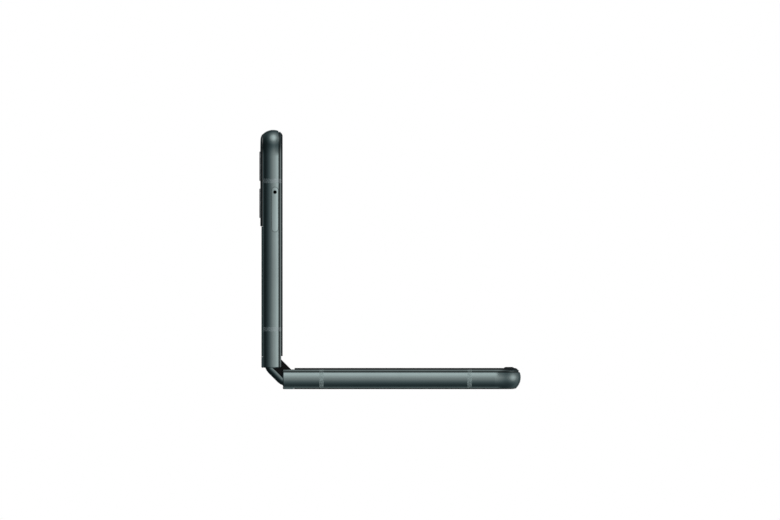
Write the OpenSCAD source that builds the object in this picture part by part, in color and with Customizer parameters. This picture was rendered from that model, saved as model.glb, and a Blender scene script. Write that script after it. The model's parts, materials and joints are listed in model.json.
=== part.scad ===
// Foldable smartphone, standing half open on its lower half.
// Origin at the middle of the lower back face, X towards the free end of the lower half, Z up.
// Each half is drawn flat: x runs outward from the hinge plane, z is 0 on the frame's inner edge.

/* [Body] */
// Length of one half, from the hinge plane to its free end
half_len = 83; // [76:0.5:95]
// Width across the flanks
body_w = 72.2; // [70:0.2:80]
// Thickness of one half, from the frame's inner edge to the back glass
body_t = 6.9; // [6.8:0.05:7.6]
// Thickness of the back glass
back_t = 0.5; // [0.45:0.05:0.6]
// Corner radius at the free end
corner_r = 9; // [7.5:0.25:12]
// Radius of the bulging flank
flank_r = 5.2; // [4.8:0.1:8]
// Depth below the inner edge where the body is widest
flank_mid = 2.8; // [2.6:0.1:3.2]
// Thickness of the frame's side walls
wall_t = 2.7; // [2.5:0.05:2.9]
// Height of the chamfer along the frame's inner edge
rim_chamfer = 0.45; // [0.3:0.05:0.55]
// How far the edge of the back glass lies inside the widest line
glass_inset = 1.5; // [1.5:0.05:1.8]
// Width of the flat metal lip at the hinge end of the back
lip_len = 4; // [3.5:0.1:4.5]
// Width of an antenna band
band_w = 1.5; // [1:0.1:2]

/* [Hinge] */
// Angle between the two screens
open_angle = 90; // [60:5:150]
// Distance of each hinge axis from the hinge plane
axis_x = 2.05; // [2:0.01:2.1]
// Depth of each hinge axis below the frame's inner edge
axis_z = 0.45; // [0.4:0.01:0.5]
// Distance of the frame ends from the hinge plane
end_gap = 0.15; // [0.1:0.05:0.3]
// Outer radius of the spine cover
spine_r = 5.45; // [5.4:0.01:5.5]
// Wall of the spine cover
spine_wall = 0.45; // [0.4:0.01:0.5]
// Gap between the spine cover and the pocket round it
pocket_gap = 0.25; // [0.2:0.05:0.3]
// Gap between the spine's ends and the frame's side walls
spine_side_gap = 0.15; // [0.1:0.05:0.3]
// Thickness of the spine's end walls
spine_end_t = 1.5; // [1.3:0.05:1.6]
// Width of the spine's end caps along the hinge
cap_w = 2.2; // [1.8:0.1:2.3]
// Tooth size of the synchronising gears
gear_module = 0.15; // [0.149:0.0005:0.15]
// Inner radius of the curved rails
rail_r = 2.6; // [2.5:0.05:2.6]
// Thickness of the curved rails
rail_t = 0.9; // [0.7:0.05:0.9]
// Running clearance of rails and shafts
run_gap = 0.05; // [0.03:0.01:0.06]
// Radius of the gear shafts
shaft_r = 0.35; // [0.3:0.01:0.36]

/* [Screen] */
// Thickness of the folding screen
panel_t = 0.7; // [0.6:0.05:0.75]
// Thickness of the frame's middle plate below the screen
plate_t = 0.65; // [0.5:0.05:0.8]
// Length of the bending stretch of the screen in each half
bend_len = 3.3; // [3.2:0.1:3.6]
// Height of the raised bezel above the frame
bezel_h = 0.5; // [0.4:0.05:0.5]
// Width of the bezel
bezel_w = 2.7; // [2.4:0.1:3]
// Height of the rubber bumpers above the bezel
bumper_h = 0.35; // [0.25:0.05:0.45]
// Radius of the front camera's window
front_cam_r = 1.9; // [1.5:0.1:2.2]

/* [Cover side] */
// Length of the black cover glass from the free end
cover_len = 33.6; // [33:0.1:36]
// How far the cover glass stands proud of the back glass
cover_proud = 0.4; // [0.2:0.05:0.5]
// Outer radius of the camera rings
ring_r = 5.15; // [4.9:0.05:5.4]
// How far the camera rings stand proud of the cover glass
ring_proud = 0.3; // [0.2:0.05:0.5]
// Distance of the first camera from the free end
cam_end = 12.7; // [12.5:0.1:14]
// Distance between the two cameras
cam_pitch = 12.9; // [12.5:0.1:14]
// Distance of the cameras from the key side
cam_side = 14.1; // [13.6:0.1:15]
// Distance of the cover display from the flank's inner wall
cover_disp_side = 1.4; // [1:0.1:4]
// Height of the cover display
cover_disp_w = 22; // [16:1:24]

/* [Edge parts] */
// Length of the SIM tray door
door_l = 15.5; // [15:0.1:16]
// Height of the SIM tray door
door_h = 2.2; // [2:0.1:2.3]
// Distance of the SIM door's middle from the free end
door_end = 27.75; // [27:0.05:29]
// Depth of the SIM door's middle below the inner edge
door_z = 2.16; // [2.1:0.02:2.3]
// Length of the SIM tray behind its door
tray_l = 17; // [16:0.5:18]
// Radius of the eject pin hole
pin_hole_r = 0.6; // [0.45:0.05:0.65]
// Distance of the volume key's middle from the free end
vol_end = 29.5; // [28:0.5:31]
// Length of the volume key
vol_l = 16; // [14:0.5:17]
// Distance of the side key's middle from the free end
side_end = 50.25; // [49:0.25:52]
// Length of the side key
side_l = 13.5; // [12:0.5:14]
// Height of the keys
key_h = 1.9; // [1.6:0.1:2.1]
// Width of the USB-C opening
usb_w = 8.34; // [8.3:0.01:8.4]
// Height of the USB-C opening
usb_h = 2.56; // [2.5:0.01:2.6]
// Radius of the loudspeaker holes
speaker_r = 0.55; // [0.4:0.05:0.6]

/* [Hidden] */
$fn = 64;
eps = 0.01;

// Folding geometry
fold = (180 - open_angle) / 2;
rest_x = 42;

// Frame
frame_t = body_t - back_t;
half_w = body_w / 2;
corner_x = half_len - corner_r;
corner_y = half_w - corner_r;
plate_top = 0.2 + panel_t;
plate_bot = plate_top + plate_t;
rim_inset = 1.35;
recess_w = half_w - rim_inset;
groove_z = 0.75;
groove_w = 0.4;
groove_d = 0.3;
back_edge = 0.3;
end_break = 0.3;
lip_r = 0.4;
pocket_r = spine_r + pocket_gap;
cross_x = axis_x + pocket_r;
cross_t = 1.05;
ledge_z = 1.7;
ledge_t = 0.9;
ledge_end = 14.2;
inner_x = cross_x + cross_t;
inner_w = half_w - wall_t;
inner_end = half_len - wall_t;
band_x = [13.6, half_len - 17.8];
band_d = 2;
cable_w = 20;

// Spine
spine_w = recess_w - spine_side_gap;
spine_in_r = spine_r - spine_wall;
spine_lip = 1.75;
cap_top = 0.6;
cap_foot = 3.4;
cap_x = 3.9;
cap_in = spine_w - cap_w;
cap_edge = 0.4;
end_edge = 2;
foot_edge = 0.35;

// Hinge mechanism, stations along the hinge measured from the middle of the phone
seat = 0.05;
shoulder_z = 1.85;
block_x = 4.7;
block_top = 1.0;
trough_x = 2.6;
trough_top = 1.4;
hinge_end = cap_in - 0.9;
bracket_y = [hinge_end - 15.5, hinge_end];
lower_rail_y = [hinge_end - 2.9, hinge_end - 0.5];
upper_rail_y = [hinge_end - 5.5, hinge_end - 3.1];
lower_sector_y = [hinge_end - 9, hinge_end - 7.5];
idler_y = [hinge_end - 11, hinge_end - 9.2];
upper_sector_y = [hinge_end - 12.7, hinge_end - 11.2];
rotor_y = [upper_sector_y[0] - 0.2, lower_rail_y[1]];
shaft_y = [bracket_y[0] + 0.4, lower_sector_y[1] + 1.4];
ledge_w = rotor_y[1] + 1;
rotor_x = 4.84;
rotor_end = 14;
rail_from = -65;
rail_to = 77;
wing_x = 4.9;
wing_w = bracket_y[0] - 0.5;
washer_t = 0.27;
washer_r = 0.95;
washer_y = bracket_y[0] - 5 * washer_t - 0.05;

// Gears
sector_n = 38;
pinion_n = 12;
idler_n = 19;
sector_pr = gear_module * sector_n / 2;
pinion_pr = gear_module * pinion_n / 2;
idler_pr = gear_module * idler_n / 2;
pinion_x = pinion_pr + 2 * idler_pr;
train_d = sector_pr + pinion_pr;
pinion_dir = asin((pinion_x - axis_x) / train_d);
train_z = -axis_z - train_d * cos(pinion_dir);
tooth_out = gear_module;
tooth_in = 1.25 * gear_module;
web_in = sector_pr - 0.5;
tooth_share = [-0.27, -0.1, 0.1, 0.27];
sector_from = -70;
sector_to = 45;
foot_from = 60;

// Screen and bezel
panel_inset = 2.8;
fold_w = cap_in - 0.2;
bezel_inset = 1.1;
bezel_x = 4.25;
bezel_r = 1.3;
bezel_u = corner_r - bezel_inset - sqrt(bezel_r * bezel_r - (bezel_r - bezel_h) * (bezel_r - bezel_h));
fold_steps = 16;
bumper_len = 5;
bumper_w = 1.7;
bumper_dir = 36;

// Cover side
cover_edge = half_len - cover_len;
cover_gap = 0.06;
cam_y = half_w - cam_side;
cam_x = [half_len - cam_end, half_len - cam_end - cam_pitch];
ring_in = ring_r - 0.85;
flash_x = (cam_x[0] + cam_x[1]) / 2;
flash_y = cam_y - 7.6;
flash_r = 1.6;
cover_disp_x = [flash_x - cover_disp_w / 2, flash_x + cover_disp_w / 2];
cover_disp_y = [cover_disp_side - inner_w, flash_y - flash_r - 1.8];
cam_front_x = half_len - 7;

// Edge parts
fit = 0.12;
door_t = 1.6;
door_x = half_len - door_end;
door_in = door_t - half_w;
tray_x = [door_x - 6.7, door_x + 4.7];
tray_t = 0.8;
tray_z = door_z + 0.04;
pin_x = door_x + 6.05;
key_z = flank_mid;
vol_x = half_len - vol_end;
side_x = half_len - side_end;
vol_out = half_w + 0.3;
side_out = half_w - 0.35;
flange_in = inner_w + 0.1;
flange_t = 0.35;
flange_edge = 0.5;
key_room = 0.2;
key_fit = 0.12;
flex_y = [inner_w - 1, inner_w - 0.6];
pivot_r = 0.35;
pivot_y = flex_y[1] + seat + pivot_r;
usb_z = 3.15;
usb_shell = 0.3;
usb_d = 6.6;
mic_y = 9;
mic_r = 0.4;

// Inner parts
battery_h = 3.9;
board_t = 0.7;
gap = 0.1;
screw_r = 0.5;
screw_head_r = 0.95;
screw_y = [rotor_y[0] + 1.4, rotor_y[0] + 6.4, rotor_y[1] - 1];
screw_x = 11;
boss_r = 1.5;
board_side = 1.3;
board_end = inner_end - board_side;
lower_board_x = board_end - 18;
main_board_x = board_end - 30;
lower_board_z = 4.85;
main_board_z = 3.3;
boss_y = inner_w - 4.4;
mid_boss_y = inner_w - 21.4;
lower_boss = [[lower_board_x + 1.5, boss_y], [lower_board_x + 1.5, -6],
    [board_end - 2, mid_boss_y], [board_end - 2, 1 - boss_y]];
upper_boss = [[main_board_x + 15.5, -boss_y], [main_board_x + 1.5, mid_boss_y],
    [board_end - 1.5, -9], [board_end - 1.5, mid_boss_y]];
battery_x = ledge_end + 1.8;
battery_w = inner_w - 6.4;
lower_battery_end = lower_board_x - 2;
upper_battery_end = min(main_board_x - 1, tray_x[0] - 0.7);
speaker_x = [lower_board_x + 3, inner_end - 0.3];
speaker_side = [7.6 - inner_w, 24.4 - inner_w];
speaker_y = [for (i = [0:5]) speaker_side[1] - 2.5 - i * 2.1];
motor_x = [lower_board_x + 4, lower_board_x + 13.6];
motor_y = [inner_w - 18.6, inner_w - 8.2];
can_h = 0.9;
ear_x = [inner_end - 3.8, inner_end - 0.1];
ear_y = [inner_w - 17.8, inner_w - 6.4];
front_body_r = 3;

// Placement of the two halves and of the spine
module on_lower() {
    translate([-rest_x, 0, body_t]) children();
}

module on_spine() {
    on_lower()
        translate([axis_x, 0, -axis_z])
            rotate([0, fold, 0])
                translate([-axis_x, 0, axis_z])
                    children();
}

module on_upper() {
    on_spine()
        translate([-axis_x, 0, -axis_z])
            rotate([0, fold, 0])
                translate([axis_x, 0, axis_z])
                    mirror([1, 0, 0])
                        children();
}

// Extrusion across the phone of an outline drawn in x and z
module along_y(y0, y1) {
    translate([0, y1, 0]) rotate([90, 0, 0]) linear_extrude(y1 - y0) children();
}

// The same on both sides of the middle line
module both_sides(span) {
    along_y(span[0], span[1]) children();
    along_y(-span[1], -span[0]) children();
}

// Box between two corners
module block(x, y, z) {
    translate([x[0], y[0], z[0]]) cube([x[1] - x[0], y[1] - y[0], z[1] - z[0]]);
}

// Outline of a half from x0 to the free end, drawn in by an inset
module half_plan(inset, x0) {
    r = corner_r - inset;
    translate([x0, -corner_y - r]) square([corner_x - x0, 2 * (corner_y + r)]);
    translate([corner_x - eps, -corner_y]) square([r + eps, 2 * corner_y]);
    for (s = [-1, 1])
        translate([corner_x, s * corner_y]) circle(r = r);
}

// Sweep of a section round the three free edges of a half.
// The section's x is the distance out from the corner centres, its y is the height.
module edge_sweep(x0) {
    for (s = [0, 1]) mirror([0, s, 0]) {
        translate([x0, corner_y, 0]) rotate([90, 0, 90]) linear_extrude(corner_x - x0) children();
        translate([corner_x, corner_y, 0]) rotate_extrude(angle = 90) children();
    }
    translate([corner_x, corner_y, 0]) rotate([90, 0, 0]) linear_extrude(2 * corner_y) children();
}

function flank_u(z) = corner_r - flank_r + sqrt(flank_r * flank_r - (flank_mid - z) * (flank_mid - z));

// Bulging section of the flank down to a depth
module bulge(depth) {
    intersection() {
        union() {
            translate([corner_r - flank_r, -flank_mid]) circle(r = flank_r, $fn = 96);
            translate([0, -depth]) square([corner_r - flank_r, depth]);
        }
        translate([0, -depth]) square([corner_r + 1, depth]);
    }
}

// Section of the flank, with its chamfered edges and the fine groove below the inner one
module flank_section() {
    u = flank_u(rim_chamfer);
    v = flank_u(frame_t - back_edge);
    difference() {
        bulge(frame_t);
        polygon([[u, -rim_chamfer], [u - 1.1 * rim_chamfer, eps], [corner_r + 1, eps],
            [corner_r + 1, -rim_chamfer]]);
        polygon([[v, back_edge - frame_t], [v - back_edge, -frame_t - eps], [corner_r + 1, -frame_t - eps],
            [corner_r + 1, back_edge - frame_t]]);
        translate([flank_u(groove_z) - groove_d, -groove_z - groove_w / 2]) square([1, groove_w]);
    }
}

// Lip at the hinge end: the flank's own section, carried on to the back plane
module lip() {
    difference() {
        union() {
            for (s = [0, 1]) mirror([0, s, 0])
                translate([end_gap, corner_y, 0]) rotate([90, 0, 90]) linear_extrude(lip_len - end_gap)
                    intersection() {
                        bulge(body_t);
                        translate([0, -body_t]) square([corner_r + 1, back_t + back_edge]);
                    }
            block([end_gap, lip_len], [-corner_y - eps, corner_y + eps], [-body_t, -frame_t + eps]);
        }
        // rounded edge towards the hinge
        along_y(-half_w - 1, half_w + 1) translate([end_gap, -body_t]) difference() {
            translate([-1, -1]) square([lip_r + 1, lip_r + 1]);
            translate([lip_r, lip_r]) circle(r = lip_r);
        }
    }
}

// Broken edge all round the flank's end beside the hinge
module end_chamfer() {
    for (s = [0, 1]) mirror([0, s, 0])
        translate([end_gap, half_w - flank_r, -flank_mid]) difference() {
            translate([-1, 0, -2 * flank_r]) cube([end_break + 1, 2 * flank_r, 4 * flank_r]);
            rotate([0, 90, 0]) cylinder(r1 = flank_r - end_break, r2 = flank_r, h = end_break + eps);
            translate([-2, 0, 0]) rotate([0, 90, 0]) cylinder(r = flank_r - end_break, h = 3);
        }
}

// Section of a back glass with its curved edge, which starts at a distance from the widest line
module glass_section(bottom, edge_r, edge_w) {
    intersection() {
        union() {
            translate([corner_r - edge_w, edge_r - bottom]) circle(r = edge_r, $fn = 96);
            translate([0, -bottom]) square([corner_r - edge_w, bottom]);
        }
        translate([0, -bottom]) square([corner_r - glass_inset, bottom - frame_t]);
    }
}

// Full solid of a swept section between x0 and the free end
module filled_sweep(x0, z0, z1) {
    edge_sweep(x0) children();
    block([x0, corner_x + 1], [-corner_y - 1, corner_y + 1], [z0, z1]);
    block([corner_x - 1, corner_x + 1], [-corner_y, corner_y], [z0, z1]);
}

// Ring or pie sector in x and z, angles from straight down towards +x
module sector2d(r0, r1, a0, a1) {
    steps = ceil((a1 - a0) / 40);
    intersection() {
        difference() {
            circle(r = r1);
            circle(r = r0);
        }
        polygon(concat([[0, 0]],
            [for (i = [0:steps]) let (a = a0 + (a1 - a0) * i / steps) 2 * r1 * [sin(a), -cos(a)]]));
    }
}

// Stadium outline of a door, a key or a port, in x and y
module stadium(l, h) {
    square([l - h, h], center = true);
    for (s = [-1, 1])
        translate([s * (l - h) / 2, 0]) circle(r = h / 2);
}

// Stadium prism through a long flank, from y0 to y1
module flank_stadium(x, z, l, h, y0, y1) {
    translate([x, y1, -z]) rotate([90, 0, 0]) linear_extrude(y1 - y0) stadium(l, h);
}

// Pocket for the spine, open towards the screen and the hinge plane
module pocket2d() {
    translate([axis_x, -axis_z]) circle(r = pocket_r, $fn = 128);
    translate([-1, -axis_z - pocket_r]) square([axis_x + 1, pocket_r + axis_z + 1]);
    translate([-1, -axis_z]) square([cross_x + 1, axis_z + 1]);
}

module frame_base() {
    difference() {
        union() {
            filled_sweep(end_gap, -frame_t, 0) flank_section();
            lip();
        }
        end_chamfer();
        along_y(-recess_w, recess_w) pocket2d();
        // screen recess
        translate([0, 0, -plate_top]) linear_extrude(plate_top + 1) half_plan(rim_inset, -1);
        // recess for the hinge plates
        block([cross_x - 1, ledge_end], [-ledge_w, ledge_w], [-ledge_z, 0]);
        // inner space, closed by the back glass
        translate([0, 0, -frame_t - 1])
            linear_extrude(frame_t - ledge_z - ledge_t + 1) half_plan(wall_t, inner_x);
        translate([0, 0, -frame_t - 1])
            linear_extrude(frame_t - plate_bot + 1) half_plan(wall_t, ledge_end + 0.4);
        // window for the cables that cross the hinge
        block([cross_x - 3, inner_x + 1], [-cable_w / 2, cable_w / 2], [-5, -3.4]);
        // slots of the antenna bands
        for (x = band_x, s = [0, 1]) mirror([0, s, 0])
            block([x - band_w / 2, x + band_w / 2], [half_w - band_d, half_w + 1], [-frame_t - 1, 1]);
        // threads of the hinge screws
        for (y = screw_y, s = [-1, 1])
            translate([screw_x, s * y, -ledge_z - ledge_t - 1]) cylinder(r = screw_r, h = 3);
    }
}

module antenna_bands() {
    for (x = band_x, s = [0, 1]) mirror([0, s, 0])
        translate([x - band_w / 2, corner_y, 0]) rotate([90, 0, 90]) linear_extrude(band_w)
            difference() {
                flank_section();
                translate([0, -body_t]) square([corner_r - band_d, body_t + 1]);
                // clear of the screen recess
                translate([0, -plate_top]) square([corner_r - rim_inset, plate_top + 1]);
            }
}

module screw_bosses(places, depth) {
    for (p = places)
        translate([p[0], p[1], -depth]) difference() {
            cylinder(r = boss_r, h = depth - plate_bot + eps);
            translate([0, 0, -eps]) cylinder(r = screw_r, h = 2);
        }
}

// Lower half

module lower_frame() color("darkslategray") on_lower() {
    difference() {
        frame_base();
        // USB-C opening in the free end
        translate([half_len + 1, 0, -usb_z]) rotate([90, 0, -90]) linear_extrude(wall_t + 2)
            stadium(usb_w + 2 * (usb_shell + fit), usb_h + 2 * (usb_shell + fit));
        // loudspeaker and microphone holes
        for (y = speaker_y) end_hole(y, speaker_r);
        end_hole(mic_y, mic_r);
    }
    screw_bosses(lower_boss, lower_board_z);
}

// Hole through the wall of the free end
module end_hole(y, r) {
    translate([inner_end - 1, y, -usb_z]) rotate([0, 90, 0]) cylinder(r = r, h = wall_t + 2);
}

module lower_antenna_bands() color("slategray") on_lower() antenna_bands();

module lower_back_glass() color("#1f2b2b") on_lower()
    filled_sweep(lip_len + cover_gap, -body_t, -frame_t) glass_section(body_t, 5, 3.3);

module lower_battery() color("#303030") on_lower()
    block([battery_x, lower_battery_end], [-battery_w, battery_w], [-plate_bot - battery_h, -plate_bot]);

module charging_coil() color("#b87333") on_lower() {
    r = (lower_battery_end - battery_x) / 2 - 1.5;
    translate([(battery_x + lower_battery_end) / 2, 0, -plate_bot - battery_h - 0.4]) difference() {
        cylinder(r = r, h = 0.4);
        translate([0, 0, -1]) cylinder(r = 0.55 * r, h = 3);
    }
}

module usb_port() color("silver") on_lower() {
    front = half_len - 0.7;
    difference() {
        translate([front, 0, -usb_z]) rotate([90, 0, -90]) linear_extrude(usb_d)
            stadium(usb_w + 2 * usb_shell, usb_h + 2 * usb_shell);
        translate([front + 1, 0, -usb_z]) rotate([90, 0, -90]) linear_extrude(usb_d)
            stadium(usb_w, usb_h);
    }
    // tongue with the contacts
    block([front - usb_d + 0.5, front - 1], [-usb_w * 0.4, usb_w * 0.4], [-usb_z - 0.35, -usb_z + 0.35]);
}

// Plate from x0 to the free end that follows the frame's inner wall
module inner_plate(x0, z) {
    translate([0, 0, z[0]]) linear_extrude(z[1] - z[0]) half_plan(wall_t + board_side, x0);
}

module holes_at(places, r) {
    for (p = places) translate([p[0], p[1], -body_t]) cylinder(r = r, h = body_t);
}

// Room round the loudspeaker and the vibration motor
module module_room() {
    block(widen(speaker_x, 0.4), widen(speaker_side, 0.4), [-body_t, 0]);
    block(widen(motor_x, 0.4), widen(motor_y, 0.4), [-body_t, 0]);
}

module lower_board() color("darkgreen") on_lower()
    difference() {
        inner_plate(lower_board_x, [-lower_board_z - board_t, -lower_board_z]);
        module_room();
        holes_at(lower_boss, screw_r + gap);
    }

module loudspeaker() color("#202020") on_lower()
    block(speaker_x, speaker_side, [-5.9, -plate_bot]);

module vibration_motor() color("silver") on_lower()
    block(motor_x, motor_y, [-5.1, -plate_bot]);

module lower_cover() color("#181818") on_lower()
    difference() {
        inner_plate(lower_board_x - 0.4, [0.05 - frame_t, -lower_board_z - board_t]);
        module_room();
        holes_at(lower_boss, screw_head_r + gap);
    }

module board_screws(places, depth) {
    for (p = places) translate([p[0], p[1], -depth]) {
        translate([0, 0, -0.4]) cylinder(r = screw_head_r, h = 0.4);
        cylinder(r = screw_r - run_gap, h = board_t + 1.5);
    }
}

// Countersunk screws that hold the rotors and sit level with them
module hinge_screws() {
    for (y = screw_y, s = [-1, 1]) translate([screw_x, s * y, -ledge_z - ledge_t]) {
        cylinder(r = screw_r - run_gap, h = ledge_t + 0.5);
        translate([0, 0, ledge_t + 0.4]) cylinder(r = screw_head_r, h = 0.35);
    }
}

module lower_screws() color("gainsboro") on_lower() {
    board_screws(lower_boss, lower_board_z + board_t);
    hinge_screws();
}

// Screen panel glued to the middle plate, narrow where it passes the spine's end caps
module screen_panel() {
    translate([0, 0, -plate_top]) linear_extrude(panel_t) half_plan(panel_inset, bezel_x + 0.15);
    block([bend_len, bezel_x + 0.2], [-fold_w, fold_w], [-plate_top, panel_t - plate_top]);
}

// Raised bezel: a flange over the frame's edge and a leg down beside the panel
module bezel() {
    edge_sweep(bezel_x) {
        intersection() {
            translate([corner_r - bezel_inset - bezel_w, 0]) square([bezel_w, bezel_h]);
            // rounded outer edge
            union() {
                translate([0, -1]) square([bezel_u, bezel_h + 1]);
                translate([bezel_u, bezel_h - bezel_r]) circle(r = bezel_r, $fn = 96);
            }
        }
        translate([corner_r - panel_inset + gap, -plate_top])
            square([panel_inset - rim_inset - 2 * gap, plate_top + eps]);
    }
}

module lower_panel() color("#0c0c10") on_lower() screen_panel();

module lower_bezel() color("#141414") on_lower() bezel();

// Rubber bumper with a domed top, bent into the corner of the bezel
module bumpers() color("#101010") on_lower() {
    dome_r = (bumper_w * bumper_w / 4 + bumper_h * bumper_h) / (2 * bumper_h);
    mid_r = (corner_r - bezel_inset - bezel_w + bezel_u) / 2;
    run = (bumper_len - bumper_w) / 2;
    for (s = [-1, 1])
        translate([corner_x + mid_r * cos(bumper_dir), s * (corner_y + mid_r * sin(bumper_dir)), bezel_h])
            rotate([0, 0, s * (bumper_dir - 90)])
                intersection() {
                    translate([0, 0, bumper_h - dome_r]) union() {
                        translate([-run, 0, 0]) rotate([0, 90, 0]) cylinder(r = dome_r, h = 2 * run);
                        for (e = [-1, 1]) translate([e * run, 0, 0]) sphere(r = dome_r);
                    }
                    translate([-bumper_len, -bumper_len, 0])
                        cube([2 * bumper_len, 2 * bumper_len, bumper_h + 1]);
                }
}

// Rotor of a half: plate on the frame's ledge, curved rail and toothed sector round the hinge axis
module rotors(rail_y, sector_y, phase) {
    for (s = [0, 1]) mirror([0, s, 0]) difference() {
        union() {
            block([rotor_x, rotor_end], [rotor_y[0], rotor_y[1]], [-ledge_z, -plate_top]);
            along_y(rail_y[0], rail_y[1]) translate([axis_x, -axis_z])
                sector2d(rail_r, rail_r + rail_t, rail_from, rail_to);
            along_y(sector_y[0], sector_y[1]) translate([axis_x, -axis_z]) toothed_sector(phase);
        }
        for (y = screw_y) translate([screw_x, y, -ledge_z - 1]) {
            cylinder(r = screw_r + gap, h = 3);
            translate([0, 0, 1.4]) cylinder(r = screw_head_r + gap, h = 3);
        }
    }
}

function polar(r, a) = r * [sin(a), -cos(a)];

// Toothed sector: teeth on its working arc, plain to its root, and a foot that joins the rotor's plate
module toothed_sector(phase) {
    pitch = 360 / sector_n;
    root = sector_pr - tooth_in;
    tip = sector_pr + tooth_out;
    first = ceil((sector_from - phase) / pitch + 0.4);
    last = floor((sector_to - phase) / pitch - 0.4);
    polygon(concat(
        [polar(root, sector_from)],
        [for (i = [first:last], k = [0:3])
            polar((k == 0 || k == 3) ? root : tip, phase + (i + tooth_share[k]) * pitch)],
        [polar(root, foot_from - 8), polar(root, foot_from - 2)],
        [for (a = [foot_from, (foot_from + rail_to) / 2, rail_to]) polar(rail_r + rail_t - 0.1, a)],
        [for (i = [18:-1:0]) polar(web_in, sector_from + (rail_to - sector_from) * i / 18)]));
}

// Plate that carries the screen beside the spine in the middle of the phone
module wing_plate() {
    block([wing_x, rotor_end], [-wing_w, wing_w], [-plate_top - 0.5, -plate_top]);
    block([cross_x + 0.1, rotor_end], [-wing_w, wing_w], [-ledge_z, -plate_top]);
}

module lower_rotors() color("gainsboro") on_lower() rotors(lower_rail_y, lower_sector_y, lower_phase);

module lower_wing_plate() color("gainsboro") on_lower() wing_plate();

// Spine

// Solid cylinder across the phone with rounded ends
module rounded_roll(r, hw, e) {
    rotate([90, 0, 0]) rotate_extrude($fn = 128) roll_section(r, hw, e);
}

module roll_section(r, hw, e) {
    translate([0, -hw]) square([r - e, 2 * hw]);
    translate([0, e - hw]) square([r, 2 * (hw - e)]);
    for (s = [-1, 1])
        translate([r - e, s * (hw - e)]) circle(r = e);
}

// Outer or inner solid of the spine, below the height of its side lips
module spine_solid(r, hw, e, top) {
    intersection() {
        translate([0, 0, -axis_z]) union() {
            for (s = [-1, 1]) translate([s * axis_x, 0, 0]) rounded_roll(r, hw, e);
            translate([-axis_x, 0, 0]) rotate([0, 90, 0]) linear_extrude(2 * axis_x) roll_section(r, hw, e);
        }
        block([-3 * r, 3 * r], [-hw - 1, hw + 1], [-2 * r, -top]);
    }
}

module spine_cover() color("darkslategray") on_spine()
    difference() {
        spine_solid(spine_r, spine_w, end_edge, spine_lip);
        spine_solid(spine_in_r, spine_w - spine_end_t, eps, spine_lip - 1);
        // seats of the end caps
        block([-cap_x - seat, cap_x + seat], [-spine_w - 1, spine_w + 1], [-cap_foot, 0]);
        // rounded edge of the end walls below the caps
        for (s = [0, 1]) mirror([0, s, 0])
            translate([-cap_x - seat, spine_w - foot_edge, -cap_foot - foot_edge])
                rotate([90, 0, 90]) linear_extrude(2 * (cap_x + seat)) difference() {
                    square([foot_edge + 1, foot_edge + 1]);
                    circle(r = foot_edge);
                }
    }

module spine_caps() color("#0a0a0a") on_spine()
    both_sides([cap_in, spine_w]) {
        translate([-cap_x, -cap_foot]) square([2 * cap_x, cap_foot + cap_top - cap_edge]);
        translate([cap_edge - cap_x, -cap_foot]) square([2 * (cap_x - cap_edge), cap_foot + cap_top]);
        for (s = [-1, 1]) translate([s * (cap_x - cap_edge), cap_top - cap_edge]) circle(r = cap_edge);
    }

// Outline of a hinge bracket, lying in the spine cover
module bracket2d() {
    depth = axis_z + spine_in_r;
    intersection() {
        union() {
            for (s = [-1, 1]) translate([s * axis_x, -axis_z]) circle(r = spine_in_r - seat, $fn = 128);
            translate([-axis_x, -depth]) square([2 * axis_x, depth]);
        }
        difference() {
            union() {
                translate([-3 * block_x, -depth - 1]) square([6 * block_x, depth + 1 - shoulder_z]);
                translate([-block_x, -depth - 1]) square([2 * block_x, depth + 1 - block_top]);
            }
            translate([-trough_x, -trough_top]) square([2 * trough_x, 2]);
        }
    }
}

// Room for a gear, open towards the spine cover
module gear_room(x, tip_r) {
    translate([x, train_z]) circle(r = tip_r + gap);
    translate([x - tip_r - gap, train_z - 4]) square([2 * (tip_r + gap), 4]);
}

function widen(span, by) = [span[0] - by, span[1] + by];

module hinge_brackets() color("silver") on_spine()
    difference() {
        both_sides(bracket_y) bracket2d();
        // curved grooves of the two rails
        both_sides(widen(lower_rail_y, run_gap)) rail_groove(0);
        both_sides(widen(upper_rail_y, run_gap)) rail_groove(1);
        // rooms of the toothed sectors, the pinions and the idlers
        both_sides(widen(lower_sector_y, gap)) sector_room(0);
        both_sides(widen(upper_sector_y, gap)) sector_room(1);
        both_sides([idler_y[0] - gap, lower_sector_y[1] + gap]) gear_room(pinion_x, pinion_pr + tooth_out);
        both_sides([upper_sector_y[0] - gap, idler_y[1] + gap]) gear_room(-pinion_x, pinion_pr + tooth_out);
        for (s = [-1, 1])
            both_sides(widen(idler_y, gap)) gear_room(s * idler_pr, idler_pr + tooth_out);
        // bores of the shafts
        for (x = [-pinion_x, -idler_pr, idler_pr, pinion_x])
            both_sides(shaft_y) translate([x, train_z]) circle(r = shaft_r);
    }

module rail_groove(side) {
    mirror([side, 0]) translate([axis_x, -axis_z])
        sector2d(rail_r - run_gap, rail_r + rail_t + run_gap, rail_from - 5, 100);
}

module sector_room(side) {
    mirror([side, 0]) translate([axis_x, -axis_z]) {
        sector2d(web_in - gap, sector_pr + tooth_out + gap, sector_from - 5, 100);
        sector2d(web_in - gap, rail_r + rail_t, foot_from - 4, 100);
    }
}

module gear_shafts() color("lightgray") on_spine()
    for (x = [-pinion_x, -idler_pr, idler_pr, pinion_x])
        both_sides(shaft_y) translate([x, train_z]) circle(r = shaft_r - eps);

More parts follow.
